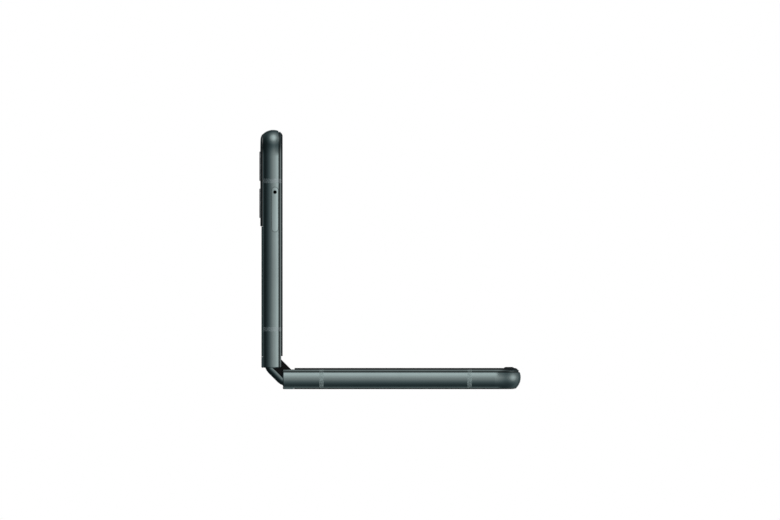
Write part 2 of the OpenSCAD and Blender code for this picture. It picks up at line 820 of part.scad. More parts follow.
// Stacks of spring washers that give the hinge its free stop
module friction_washers() color("dimgray") on_spine()
    for (x = [-pinion_x, pinion_x], s = [-1, 1], i = [0:4])
        translate([x, s * (washer_y + i * washer_t), train_z])
            rotate([s * 90, 0, 0]) translate([0, 0, -washer_t]) difference() {
                cylinder(r1 = washer_r, r2 = washer_r - 0.1, h = washer_t - 0.02);
                translate([0, 0, -1]) cylinder(r = shaft_r + eps, h = 3);
            }

// Gears

// Outline of a gear, one tooth at the angle phase from straight down
module gear2d(n, phase) {
    pr = gear_module * n / 2;
    polygon([for (i = [0:n - 1], k = [0:3])
        polar((k == 0 || k == 3) ? pr - tooth_in : pr + tooth_out, phase + (i + tooth_share[k]) * 360 / n)]);
}

// Angle of a tooth of gear 2 that meshes with gear 1, seen along dir from gear 1 to gear 2
function mesh_phase(n1, p1, n2, dir) = dir + 180 - 180 / n2 + n1 * (dir - p1) / n2;

lower_sector_phase = fold;
lower_pinion_phase = mesh_phase(sector_n, lower_sector_phase, pinion_n, pinion_dir);
lower_idler_phase = mesh_phase(pinion_n, lower_pinion_phase, idler_n, -90);
upper_idler_phase = mesh_phase(idler_n, lower_idler_phase, idler_n, -90);
upper_pinion_phase = mesh_phase(idler_n, upper_idler_phase, pinion_n, -90);
upper_sector_phase = mesh_phase(pinion_n, upper_pinion_phase, sector_n, 180 - pinion_dir);
lower_phase = lower_sector_phase - fold;
upper_phase = -upper_sector_phase - fold;

module gear_pair(x, span, n, phase) {
    on_spine() both_sides(span) translate([x, train_z]) difference() {
        gear2d(n, phase);
        circle(r = shaft_r + run_gap);
    }
}

module lower_pinions() color("goldenrod")
    gear_pair(pinion_x, [idler_y[0], lower_sector_y[1]], pinion_n, lower_pinion_phase);

module lower_idlers() color("peru")
    gear_pair(idler_pr, idler_y, idler_n, lower_idler_phase);

module upper_idlers() color("peru")
    gear_pair(-idler_pr, idler_y, idler_n, upper_idler_phase);

module upper_pinions() color("goldenrod")
    gear_pair(-pinion_x, [upper_sector_y[0], idler_y[1]], pinion_n, upper_pinion_phase);

// Folding stretch of the screen: turns about the hinge axis by a smooth share of the fold
function fold_point(x, z) =
    let (t = x / bend_len, a = fold * t * t * (3 - 2 * t), dx = x - axis_x, dz = z + axis_z)
        [axis_x + dx * cos(a) - dz * sin(a), -axis_z + dx * sin(a) + dz * cos(a)];

module display_fold() {
    steps = [for (i = [0:fold_steps]) bend_len * i / fold_steps];
    back = [for (i = [fold_steps:-1:0]) bend_len * i / fold_steps];
    along_y(-fold_w, fold_w)
        polygon(concat([for (x = steps) fold_point(x, -plate_top)],
            [for (x = back) fold_point(x, panel_t - plate_top)]));
}

module display_fold_lower() color("#0c0c10") on_spine() display_fold();

module display_fold_upper() color("#0c0c10") on_spine() mirror([1, 0, 0]) display_fold();

// Upper half

module upper_frame() color("darkslategray") on_upper() {
    difference() {
        frame_base();
        // SIM tray slot with its step, and the path of the eject pin
        flank_stadium(door_x, door_z, door_l + 2 * fit, door_h + 2 * fit, -half_w - 1, door_in + fit);
        block(widen(tray_x, gap), [-half_w, 1 - inner_w],
            [-tray_z - tray_t / 2 - gap, gap + tray_t / 2 - tray_z]);
        translate([pin_x, -half_w, -door_z]) rotate([-90, 0, 0]) cylinder(r = pin_hole_r, h = wall_t + 1);
        // key slots with the rooms of their flanges
        key_slot(vol_x, vol_l);
        key_slot(side_x, side_l);
        // microphone hole in the free end
        end_hole(mic_y, mic_r);
        // window of the front camera
        translate([cam_front_x, 0, -plate_bot - 1]) cylinder(r = front_cam_r + 0.6 + gap, h = 3);
    }
    screw_bosses(upper_boss, main_board_z);
}

module key_slot(x, l) {
    flank_stadium(x, key_z, l + 2 * key_fit, key_h + 2 * key_fit, inner_w - 1, half_w + 1);
    flank_stadium(x, key_z, l + 2 * (flange_edge + key_fit), key_h + 2 * (flange_edge + key_fit),
        inner_w - 1, flange_in + flange_t + key_room);
}

module upper_antenna_bands() color("slategray") on_upper() antenna_bands();

module upper_back_glass() color("#1f2b2b") on_upper()
    intersection() {
        filled_sweep(lip_len + cover_gap, -body_t, -frame_t) glass_section(body_t, 5, 3.3);
        block([0, cover_edge - cover_gap / 2], [-half_w, half_w], [-body_t - 1, 0]);
    }

module camera_holes(r) {
    for (x = cam_x) translate([x, cam_y, -body_t - 2]) cylinder(r = r, h = body_t);
}

module cover_glass() color("#0c1010") on_upper()
    difference() {
        intersection() {
            filled_sweep(lip_len + cover_gap, -body_t - cover_proud, -frame_t)
                glass_section(body_t + cover_proud, 3, 3.4);
            block([cover_edge + cover_gap / 2, half_len], [-half_w, half_w], [-body_t - 1, 0]);
        }
        camera_holes(ring_r + seat);
        translate([flash_x, flash_y, -body_t - 1]) cylinder(r = flash_r + seat, h = 3);
    }

module cover_display() color("#050505") on_upper()
    block(cover_disp_x, cover_disp_y, [-frame_t, -frame_t + 0.7]);

module camera_rings() color("gray") on_upper()
    for (x = cam_x) translate([x, cam_y, -body_t - cover_proud - ring_proud])
        rotate_extrude() {
            polygon([[ring_in, 0.1], [ring_in + 0.1, 0], [ring_r - 0.15, 0], [ring_r, 0.15],
                [ring_r, ring_proud + cover_proud + back_t], [ring_in, ring_proud + cover_proud + back_t]]);
        }

module camera_lens_covers() color("#101418") on_upper()
    for (x = cam_x) translate([x, cam_y, -body_t - cover_proud - ring_proud + 0.2])
        cylinder(r = ring_in - 0.03, h = 0.5);

module camera_body(x, w, barrel_r) {
    z0 = -body_t - cover_proud - ring_proud + 0.7;
    block([x - w / 2, x + w / 2], [cam_y - w / 2, cam_y + w / 2], [-frame_t + 0.1, -plate_bot]);
    translate([x, cam_y, z0]) cylinder(r = barrel_r, h = -frame_t + 0.2 - z0);
}

module wide_camera() color("#26262a") on_upper() camera_body(cam_x[1], 10.4, 3.9);

module ultrawide_camera() color("#26262a") on_upper() camera_body(cam_x[0], 9.4, 3.6);

module flash_led() color("lightyellow") on_upper()
    translate([flash_x, flash_y, -body_t - cover_proud + 0.05]) cylinder(r = flash_r, h = 1.4);

module main_board() color("darkgreen") on_upper()
    difference() {
        inner_plate(main_board_x, [-main_board_z - board_t, -main_board_z]);
        // clear of the cameras, of the front camera and of the earpiece
        for (x = cam_x) block([x - 6.6, x + 5.8], [cam_y - 5.5, inner_w], [-body_t, 0]);
        block(widen(ear_x, 0.5), widen(ear_y, 0.4), [-body_t, 0]);
        holes_at([[cam_front_x, 0]], front_body_r + 2 * gap);
        holes_at(upper_boss, screw_r + gap);
    }

module shield_cans() color("silver") on_upper() {
    z = [-main_board_z - board_t - can_h, -main_board_z - board_t];
    block([main_board_x + 3.5, board_end - 7], [6.4 - inner_w, -12], z);
    block([main_board_x + 3.5, board_end - 13], [-10, 6], z);
}

module upper_battery() color("#303030") on_upper()
    block([battery_x, upper_battery_end], [-battery_w, battery_w], [-plate_bot - battery_h, -plate_bot]);

module earpiece() color("#202020") on_upper()
    block(ear_x, ear_y, [-5.2, -plate_bot]);

module front_camera() color("#151518") on_upper()
    translate([cam_front_x, 0, 0]) {
        translate([0, 0, -4.9]) cylinder(r = front_body_r, h = 4.9 - plate_bot);
        translate([0, 0, -plate_bot - eps]) cylinder(r = front_cam_r, h = plate_bot - 0.35);
    }

module upper_panel() color("#0c0c10") on_upper()
    difference() {
        screen_panel();
        translate([cam_front_x, 0, -2]) cylinder(r = front_cam_r + gap, h = 3);
    }

module upper_bezel() color("#141414") on_upper() bezel();

module sim_tray() color("darkslategray") on_upper() {
    // door, cut to the flank's own curve, with the eject pin hole
    difference() {
        intersection() {
            flank_stadium(door_x, door_z, door_l, door_h, -half_w - 1, door_in);
            mirror([0, 1, 0]) translate([door_x - door_l, corner_y, 0]) rotate([90, 0, 90])
                linear_extrude(2 * door_l) flank_section();
        }
        translate([pin_x, -half_w - 1, -door_z]) rotate([-90, 0, 0]) cylinder(r = pin_hole_r, h = 4);
    }
    // carrier with the card's window
    difference() {
        block(tray_x, [door_in - eps, door_in + tray_l], [-tray_z - tray_t / 2, tray_t / 2 - tray_z]);
        block(widen(tray_x, -1.2), [door_in + 2.6, door_in + tray_l - 1.6], [-tray_z - 1, 1 - tray_z]);
    }
}

module sim_socket() color("silver") on_upper()
    difference() {
        block(widen(tray_x, 0.5), [0.1 - inner_w, door_in + tray_l + 0.9],
            [-tray_z - tray_t / 2 - gap - 0.2, -plate_bot]);
        block(widen(tray_x, gap), [-half_w, door_in + tray_l + 0.4],
            [-tray_z - tray_t / 2 - gap, tray_t / 2 + gap - tray_z]);
    }

module key_flange(x, l) {
    flank_stadium(x, key_z, l + 2 * flange_edge, key_h + 2 * flange_edge, flange_in, flange_in + flange_t);
}

module volume_key() color("darkslategray") on_upper() {
    flank_stadium(vol_x, key_z, vol_l, key_h, flange_in + eps, vol_out);
    key_flange(vol_x, vol_l);
    // round rib that the key rocks on
    translate([vol_x, pivot_y, -key_z - key_h / 2]) cylinder(r = pivot_r, h = key_h);
    block([vol_x - pivot_r, vol_x + pivot_r], [pivot_y, flange_in + eps],
        [-key_z - key_h / 2, key_h / 2 - key_z]);
}

module side_key() color("darkslategray") on_upper() {
    flank_stadium(side_x, key_z, side_l, key_h, flange_in + eps, side_out);
    key_flange(side_x, side_l);
}

module key_flex() color("orange") on_upper() {
    block([side_x - 8, vol_x + 8], flex_y, [-4.2, -plate_bot]);
    for (x = [vol_x - 5, vol_x + 5, side_x])
        translate([x, flex_y[1] - eps, -key_z]) rotate([-90, 0, 0]) cylinder(r = 1, h = 0.3);
}

module upper_cover() color("#181818") on_upper()
    difference() {
        inner_plate(main_board_x, [0.05 - frame_t, -main_board_z - board_t - can_h - 0.1]);
        block([0, half_len], [cam_y - 8, half_w], [-body_t, 0]);
        // room of the cover display
        block(widen(cover_disp_x, 1), [-half_w, cover_disp_y[1] + 1], [-body_t, 0.8 - frame_t]);
        holes_at([[flash_x, flash_y]], flash_r + 2 * gap);
        holes_at([[cam_front_x, 0]], front_body_r + 2 * gap);
        holes_at(upper_boss, screw_head_r + gap);
    }

module upper_screws() color("gainsboro") on_upper() {
    board_screws(upper_boss, main_board_z + board_t);
    hinge_screws();
}

module upper_rotors() color("gainsboro") on_upper() rotors(upper_rail_y, upper_sector_y, upper_phase);

module upper_wing_plate() color("gainsboro") on_upper() wing_plate();

lower_frame();
lower_antenna_bands();
lower_back_glass();
lower_battery();
charging_coil();
usb_port();
lower_board();
loudspeaker();
vibration_motor();
lower_panel();
lower_bezel();
bumpers();
lower_screws();
lower_cover();
lower_rotors();
lower_wing_plate();
spine_cover();
spine_caps();
hinge_brackets();
gear_shafts();
friction_washers();
lower_pinions();
lower_idlers();
upper_idlers();
upper_pinions();
display_fold_lower();
display_fold_upper();
upper_frame();
upper_antenna_bands();
upper_back_glass();
cover_glass();
cover_display();
camera_rings();
camera_lens_covers();
wide_camera();
ultrawide_camera();
flash_led();
main_board();
shield_cans();
upper_battery();
earpiece();
front_camera();
upper_panel();
upper_bezel();
sim_tray();
sim_socket();
volume_key();
side_key();
key_flex();
upper_screws();
upper_cover();
upper_rotors();
upper_wing_plate();
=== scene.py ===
"""Foldable smartphone, half open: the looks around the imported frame, in metres, X to the free end, Z up."""
import json
import math

import bmesh
import bpy
from mathutils import Matrix, Vector


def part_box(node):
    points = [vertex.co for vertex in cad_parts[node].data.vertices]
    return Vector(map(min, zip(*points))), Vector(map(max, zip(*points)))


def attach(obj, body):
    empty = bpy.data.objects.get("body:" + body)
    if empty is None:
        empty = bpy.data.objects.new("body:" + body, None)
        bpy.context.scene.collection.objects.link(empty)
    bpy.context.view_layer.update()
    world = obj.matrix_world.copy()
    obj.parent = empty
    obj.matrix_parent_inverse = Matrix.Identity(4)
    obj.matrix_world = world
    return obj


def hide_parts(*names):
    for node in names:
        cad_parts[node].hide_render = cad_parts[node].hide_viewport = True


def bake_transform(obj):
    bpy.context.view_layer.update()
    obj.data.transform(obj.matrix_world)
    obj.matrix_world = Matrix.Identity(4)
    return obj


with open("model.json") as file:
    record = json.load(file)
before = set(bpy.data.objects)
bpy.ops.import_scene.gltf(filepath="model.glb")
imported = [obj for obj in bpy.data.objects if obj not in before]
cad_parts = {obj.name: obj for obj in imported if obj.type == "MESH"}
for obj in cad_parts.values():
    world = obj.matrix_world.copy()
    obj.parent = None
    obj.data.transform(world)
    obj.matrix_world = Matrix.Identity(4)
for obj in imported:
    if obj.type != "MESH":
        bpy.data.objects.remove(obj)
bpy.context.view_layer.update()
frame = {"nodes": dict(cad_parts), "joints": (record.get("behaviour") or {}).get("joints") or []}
nodes = frame["nodes"]
joints = {j["name"]: j for j in frame["joints"]}

MM = 0.001

# Photograph: pixels per millimetre, its middle, and the pixel where the two inner edges would cross
IMAGE_W = 780
IMAGE_H = 520
PX_PER_MM = 2.873
CORNER_PX = (281.2, 369.4)

# Sizes that the frame gives
inner_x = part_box("upper_frame")[1].x
inner_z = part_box("lower_frame")[1].z

# Each hinge axis lies this far outward from its half's zero point, and this far below the inner edge
AXIS_OUT = 2.05 * MM
AXIS_DOWN = 0.45 * MM
lower_axis = Vector(joints["lower_hinge"]["pos_m"])
upper_axis = Vector(joints["upper_hinge"]["pos_m"])


def on_lower(x, y, z):
    """Point of the lower half from its millimetres: outward from the hinge, across, above the inner edge."""
    return Vector((lower_axis.x - AXIS_OUT + x * MM, y * MM, lower_axis.z + AXIS_DOWN + z * MM))


def on_upper(x, y, z):
    """The same for the upper half, which stands: its height above the inner edge runs along world X."""
    return Vector((upper_axis.x + AXIS_DOWN + z * MM, y * MM, upper_axis.z - AXIS_OUT + x * MM))


# Small helpers for meshes

def link(name, mesh):
    piece = bpy.data.objects.new(name, mesh)
    bpy.context.scene.collection.objects.link(piece)
    return piece


def mesh_piece(name, verts, faces, smooth=True):
    mesh = bpy.data.meshes.new(name)
    mesh.from_pydata(verts, [], faces)
    mesh.validate()
    if smooth:
        mesh.shade_smooth()
    return link(name, mesh)


def lathe(name, profile, centre, axis, count=96):
    """Closed solid of (radius, height) points turned round an axis, with the heights along it."""
    axis = Vector(axis).normalized()
    side = axis.orthogonal().normalized()
    up = axis.cross(side)
    verts = []
    for k in range(count):
        angle = 2 * math.pi * k / count
        out = side * math.cos(angle) + up * math.sin(angle)
        verts += [Vector(centre) + out * r + axis * h for r, h in profile]
    n = len(profile)
    faces = []
    for k in range(count):
        a = k * n
        b = (k + 1) % count * n
        faces += [(a + i, b + i, b + i + 1, a + i + 1) for i in range(n - 1)]
    piece = mesh_piece(name, [tuple(v) for v in verts], faces)
    tidy_mesh(piece)
    return piece


def boxes(name, blocks):
    """One piece of boxes, each given by its low and its high corner."""
    verts = []
    faces = []
    for low, high in blocks:
        k = len(verts)
        verts += [(x, y, z) for x in (low[0], high[0]) for y in (low[1], high[1]) for z in (low[2], high[2])]
        faces += [tuple(k + i for i in face) for face in
                  ((0, 1, 3, 2), (4, 6, 7, 5), (0, 4, 5, 1), (2, 3, 7, 6), (0, 2, 6, 4), (1, 5, 7, 3))]
    piece = mesh_piece(name, verts, faces, smooth=False)
    tidy_mesh(piece)
    return piece


WELD = 1e-7


def tidy_mesh(piece, sharp=35):
    """Welds points, drops empty faces, turns all faces outward and keeps edges sharp beyond an angle."""
    mesh = bmesh.new()
    mesh.from_mesh(piece.data)
    bmesh.ops.remove_doubles(mesh, verts=mesh.verts, dist=WELD)
    bmesh.ops.dissolve_degenerate(mesh, edges=mesh.edges, dist=WELD)
    bmesh.ops.recalc_face_normals(mesh, faces=mesh.faces)
    mesh.to_mesh(piece.data)
    mesh.free()
    piece.data.shade_smooth()
    piece.data.set_sharp_from_angle(angle=math.radians(sharp))


def dress(piece, material, body, slot, *replaced):
    piece.data.materials.append(material)
    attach(piece, body)
    if replaced:
        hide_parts(*replaced)


# Small helpers for node trees

def ramp_of(tree, value, steps, low, high):
    """Looks a value up in a table of (position, level) pairs between low and high."""
    scaled = tree.nodes.new("ShaderNodeMapRange")
    scaled.inputs["From Min"].default_value = low
    scaled.inputs["From Max"].default_value = high
    tree.links.new(value, scaled.inputs["Value"])
    top = max(level for _, level in steps)
    ramp = tree.nodes.new("ShaderNodeValToRGB")
    ramp.color_ramp.interpolation = "LINEAR"
    stops = ramp.color_ramp.elements
    while len(stops) > 1:
        stops.remove(stops[-1])
    for k, (s, level) in enumerate(steps):
        place = (s - low) / (high - low)
        stop = stops[0] if k == 0 else stops.new(place)
        stop.position = place
        stop.color = (level / top, level / top, level / top, 1)
    tree.links.new(scaled.outputs["Result"], ramp.inputs["Fac"])
    return product(tree, ramp.outputs["Color"], top)


def product(tree, *factors):
    result = None
    for factor in factors:
        if result is None:
            result = factor
            continue
        times = tree.nodes.new("ShaderNodeMath")
        times.operation = "MULTIPLY"
        tree.links.new(result, times.inputs[0])
        if isinstance(factor, (int, float)):
            times.inputs[1].default_value = factor
        else:
            tree.links.new(factor, times.inputs[1])
        result = times.outputs[0]
    return result


def difference(tree, one, number):
    less = tree.nodes.new("ShaderNodeMath")
    less.operation = "SUBTRACT"
    tree.links.new(one, less.inputs[0])
    less.inputs[1].default_value = number
    return less.outputs[0]


def magnitude(tree, value):
    size = tree.nodes.new("ShaderNodeMath")
    size.operation = "ABSOLUTE"
    tree.links.new(value, size.inputs[0])
    return size.outputs[0]


def brighter(tree, one, other):
    most = tree.nodes.new("ShaderNodeMath")
    most.operation = "MAXIMUM"
    tree.links.new(one, most.inputs[0])
    tree.links.new(other, most.inputs[1])
    return most.outputs[0]


# Materials

NOISE_LOW = 0.3
NOISE_HIGH = 0.7


class Nodes:
    """Thin wrapper that makes and links shader nodes."""

    def __init__(self, name):
        self.material = bpy.data.materials.new(name)
        self.material.use_nodes = True
        self.tree = self.material.node_tree
        self.shader = self.tree.nodes["Principled BSDF"]
        self.place = self.add("ShaderNodeTexCoord").outputs["Object"]

    def add(self, kind, **values):
        node = self.tree.nodes.new(kind)
        for key, value in values.items():
            setattr(node, key, value)
        return node

    def join(self, start, end):
        self.tree.links.new(start, end)

    def noise(self, scale, detail=3.0, stretch=(1, 1, 1)):
        mapping = self.add("ShaderNodeMapping")
        mapping.inputs["Scale"].default_value = stretch
        self.join(self.place, mapping.inputs["Vector"])
        noise = self.add("ShaderNodeTexNoise")
        noise.inputs["Scale"].default_value = scale
        noise.inputs["Detail"].default_value = detail
        self.join(mapping.outputs["Vector"], noise.inputs["Vector"])
        return noise.outputs["Fac"]

    def spread(self, factor, low, high):
        """Maps the middle of a noise factor's range to the range low to high."""
        span = self.add("ShaderNodeMapRange")
        span.inputs["From Min"].default_value = NOISE_LOW
        span.inputs["From Max"].default_value = NOISE_HIGH
        span.inputs["To Min"].default_value = low
        span.inputs["To Max"].default_value = high
        self.join(factor, span.inputs["Value"])
        return span.outputs["Result"]

    def bump(self, factor, height, strength=1.0):
        bump = self.add("ShaderNodeBump")
        bump.inputs["Strength"].default_value = strength
        bump.inputs["Distance"].default_value = height
        self.join(factor, bump.inputs["Height"])
        self.join(bump.outputs["Normal"], self.shader.inputs["Normal"])

    def tint(self, factor, dark, light):
        mix = self.add("ShaderNodeMix", data_type="RGBA")
        mix.inputs["A"].default_value = (*dark, 1)
        mix.inputs["B"].default_value = (*light, 1)
        self.join(self.spread(factor, 0, 1), mix.inputs["Factor"])
        self.join(mix.outputs["Result"], self.shader.inputs["Base Color"])


def finish_of(name, color, metallic=0.0, rough=0.4, rough_var=0.06, shade_var=0.06, grain=3000.0,
              grain_h=2e-6, patch=60.0, coat=0.0, coat_rough=0.05, specular=0.5, stretch=(1, 1, 1)):
    """A surface with slow colour and roughness changes and a fine grain."""
    n = Nodes(name)
    n.shader.inputs["Metallic"].default_value = metallic
    n.shader.inputs["Coat Weight"].default_value = coat
    n.shader.inputs["Coat Roughness"].default_value = coat_rough
    n.shader.inputs["Specular IOR Level"].default_value = specular
    slow = n.noise(patch, 4.0)
    fine = n.noise(grain, 2.0, stretch)
    n.tint(slow, [c * (1 - shade_var) for c in color], [min(1, c * (1 + shade_var)) for c in color])
    uneven = n.spread(n.noise(patch * 3, 5.0), rough - rough_var, rough + rough_var)
    n.join(uneven, n.shader.inputs["Roughness"])
    if grain_h:
        n.bump(fine, grain_h)
    return n.material


METAL_COLOR = (0.292, 0.362, 0.36)
# one band plastic on both halves: painted shade makes the lower copy darker and painted light makes the upper
# copy lighter
LOWER_BAND_SHADED_COLOR = (0.25, 0.315, 0.312)
UPPER_BAND_LIT_COLOR = (0.37, 0.44, 0.445)


def metal(name, share=1.0):
    return finish_of(name, [c * share for c in METAL_COLOR], metallic=1.0, rough=0.19, rough_var=0.02,
                     shade_var=0.03, grain=9000, grain_h=1e-6)


def band(name, color, metallic):
    return finish_of(name, color, metallic=metallic, rough=0.3, grain=9000)


# Height above the inner edge in millimetres, and the share of the finish's brightness there: painted shade
# along the edge beside the bezel and in the groove below it
RIM_SHADE_SHARES = [(-1.1, 1), (-0.96, 0.15), (-0.58, 0.12), (-0.5, 0.5), (-0.14, 0.45), (-0.06, 0.12), (0.1, 0.12)]
BAND_RIM_SHADE_SHARES = [(-1.1, 1), (-0.96, 0.4), (-0.58, 0.4), (-0.5, 0.7), (-0.14, 0.6), (-0.06, 0.2), (0.1, 0.2)]
# The painted shade of the groove lies a little lower on the lower half
LOWER_RIM = inner_z - 0.1 * MM
UPPER_RIM = inner_x + 0.08 * MM


def shade_base(material, share):
    """Multiplies a material's base colour by a share."""
    tree = material.node_tree
    base = tree.nodes["Principled BSDF"].inputs["Base Color"]
    plain = base.links[0].from_socket
    darker = tree.nodes.new("ShaderNodeMix")
    darker.data_type = "RGBA"
    darker.inputs["A"].default_value = (0, 0, 0, 1)
    tree.links.new(plain, darker.inputs["B"])
    tree.links.new(share, darker.inputs["Factor"])
    tree.links.new(darker.outputs["Result"], base)


def object_axes(tree):
    place = tree.nodes.new("ShaderNodeTexCoord")
    split = tree.nodes.new("ShaderNodeSeparateXYZ")
    tree.links.new(place.outputs["Object"], split.inputs["Vector"])
    return split.outputs


def distance(tree, one, other):
    """Length of the way that two coordinates give."""
    gather = tree.nodes.new("ShaderNodeCombineXYZ")
    tree.links.new(one, gather.inputs["X"])
    tree.links.new(other, gather.inputs["Y"])
    reach = tree.nodes.new("ShaderNodeVectorMath")
    reach.operation = "LENGTH"
    tree.links.new(gather.outputs["Vector"], reach.inputs[0])
    return reach.outputs["Value"]


def share_by(tree, value, shares, zero=0.0):
    """Looks a length up in a table of (millimetres from zero, share) pairs."""
    steps = [(zero + place * MM, share) for place, share in shares]
    return ramp_of(tree, value, steps, steps[0][0], steps[-1][0])


def paint_rim_shade(material, rim_axis, rim, shares=RIM_SHADE_SHARES):
    """Painted shade: the edge beside the bezel, and the groove below it, are painted darker."""
    tree = material.node_tree
    shade_base(material, share_by(tree, object_axes(tree)[rim_axis], shares, rim))
    return material


# The SIM door's middle, length and height, on the upper half
DOOR_MIDDLE = (55.25, -2.16)
DOOR_L = 15.5
DOOR_H = 2.2
# Distance in millimetres from the straight line inside the door that all of its outline is equally far from,
# and the share of the metal's brightness there: painted shade in the seam round the door
SEAM_SHADE_SHARES = [(0.6, 1), (0.95, 1), (1.05, 0.7), (1.24, 0.7), (1.32, 1)]
# The door's metal is painted a little brighter than the flank: painted light
DOOR_LIGHT_SHARE = 1.2
# Middle of the pin hole along the half, and the share of the metal's brightness by the distance from it:
# painted shade in and round the hole
PIN_X = 61.3
PIN_SHADE_SHARES = [(0.0, 0.05), (0.56, 0.05), (0.68, 1)]


def paint_seam_shade(material):
    """Painted shade in the seam round the SIM door, on the flank that carries it."""
    tree = material.node_tree
    axes = object_axes(tree)
    middle = on_upper(DOOR_MIDDLE[0], 0, DOOR_MIDDLE[1])
    along = magnitude(tree, difference(tree, axes["Z"], middle.z))
    past_end = tree.nodes.new("ShaderNodeMath")
    past_end.operation = "MAXIMUM"
    past_end.inputs[1].default_value = 0
    tree.links.new(difference(tree, along, (DOOR_L - DOOR_H) / 2 * MM), past_end.inputs[0])
    reach = distance(tree, difference(tree, axes["X"], middle.x), past_end.outputs[0])
    seam = share_by(tree, reach, SEAM_SHADE_SHARES)
    behind = tree.nodes.new("ShaderNodeMath")
    behind.operation = "GREATER_THAN"
    behind.inputs[1].default_value = 0
    tree.links.new(axes["Y"], behind.inputs[0])
    shade_base(material, brighter(tree, seam, behind.outputs[0]))
    return material


def paint_pin_hole_shade(material):
    """Painted shade in and round the hole of the SIM door."""
    tree = material.node_tree
    axes = object_axes(tree)
    middle = on_upper(PIN_X, 0, DOOR_MIDDLE[1])
    reach = distance(tree, difference(tree, axes["X"], middle.x), difference(tree, axes["Z"], middle.z))
    shade_base(material, share_by(tree, reach, PIN_SHADE_SHARES))
    return material


METAL = metal("green_metal")
# the frames and antenna bands carry painted shade along the rim and in the groove
LOWER_METAL = paint_rim_shade(metal("green_metal_lower"), "Z", LOWER_RIM)
# the upper frame and the door carry painted shade in the SIM door's seam
UPPER_METAL = paint_seam_shade(paint_rim_shade(metal("green_metal_upper"), "X", UPPER_RIM))
# the door metal is a lighter copy of the flank metal, with painted light
DOOR_METAL = paint_pin_hole_shade(paint_seam_shade(metal("green_metal_door", DOOR_LIGHT_SHARE)))
# lower band is the shaded copy and upper band the lit copy of one plastic
LOWER_BAND = paint_rim_shade(band("band_plastic_lower", LOWER_BAND_SHADED_COLOR, 0.53), "Z", LOWER_RIM, BAND_RIM_SHADE_SHARES)
UPPER_BAND = paint_rim_shade(band("band_plastic_upper", UPPER_BAND_LIT_COLOR, 0.92), "X", UPPER_RIM, BAND_RIM_SHADE_SHARES)
BACK_GLASS = finish_of("frosted_back_glass", (0.014, 0.029, 0.027), rough=0.3, rough_var=0.04, grain=14000,
                       grain_h=1e-6, coat=0.15, coat_rough=0.2, specular=0.25)
BLACK_GLASS = finish_of("black_glass", (0.004, 0.005, 0.005), rough=0.06, rough_var=0.02, grain_h=0, coat=1.0)
SCREEN = finish_of("screen_film", (0.006, 0.006, 0.008), rough=0.12, rough_var=0.03, grain=500, grain_h=3e-7,
                   coat=0.8, coat_rough=0.08)
BEZEL = finish_of("bezel_plastic", (0.005, 0.006, 0.007), rough=0.42, grain=8000, grain_h=3e-6,
                  specular=0.15)
CAP = finish_of("cap_plastic", (0.004, 0.004, 0.004), rough=0.45, grain=8000, grain_h=3e-6, specular=0.12)
RUBBER = finish_of("bumper_rubber", (0.003, 0.003, 0.003), rough=0.65, grain=6000, grain_h=4e-6,
                   specular=0.1)
RING = finish_of("ring_metal", (0.22, 0.215, 0.235), metallic=1.0, rough=0.24, grain=12000, grain_h=6e-7)
STEEL = finish_of("hinge_steel", (0.55, 0.55, 0.56), metallic=1.0, rough=0.3, grain=5000, stretch=(1, 8, 1))
BRASS = finish_of("gear_bronze", (0.6, 0.42, 0.2), metallic=1.0, rough=0.32)
DARK = finish_of("module_plastic", (0.02, 0.02, 0.022), rough=0.5)
CAN = finish_of("can_metal", (0.6, 0.6, 0.62), metallic=1.0, rough=0.35, grain=3000)
FOIL = finish_of("battery_foil", (0.09, 0.09, 0.1), metallic=0.6, rough=0.4, grain=1200, grain_h=1e-5)
BOARD = finish_of("circuit_board", (0.012, 0.06, 0.04), rough=0.4, grain=2500, grain_h=1e-5)
COPPER = finish_of("copper_winding", (0.6, 0.25, 0.12), metallic=1.0, rough=0.3, grain=3000)
FLEX = finish_of("flex_film", (0.35, 0.15, 0.03), rough=0.35)
FLASH = finish_of("flash_lens", (0.75, 0.66, 0.36), rough=0.3, grain=4000, grain_h=3e-5, coat=1.0)
LENS = finish_of("lens_coating", (0.010, 0.012, 0.045), rough=0.05, rough_var=0.01, grain_h=0, coat=1.0,
                 shade_var=0.5, patch=300)
BAFFLE_BLACK = finish_of("baffle_black", (0.006, 0.006, 0.007), rough=0.3, grain=9000, coat=0.6,
                         coat_rough=0.05)
MESH = finish_of("fine_mesh", (0.05, 0.05, 0.052), metallic=0.7, rough=0.4, grain=6000, grain_h=4e-5)
GOLD = finish_of("gold_contact", (0.75, 0.52, 0.2), metallic=1.0, rough=0.25, grain=6000)

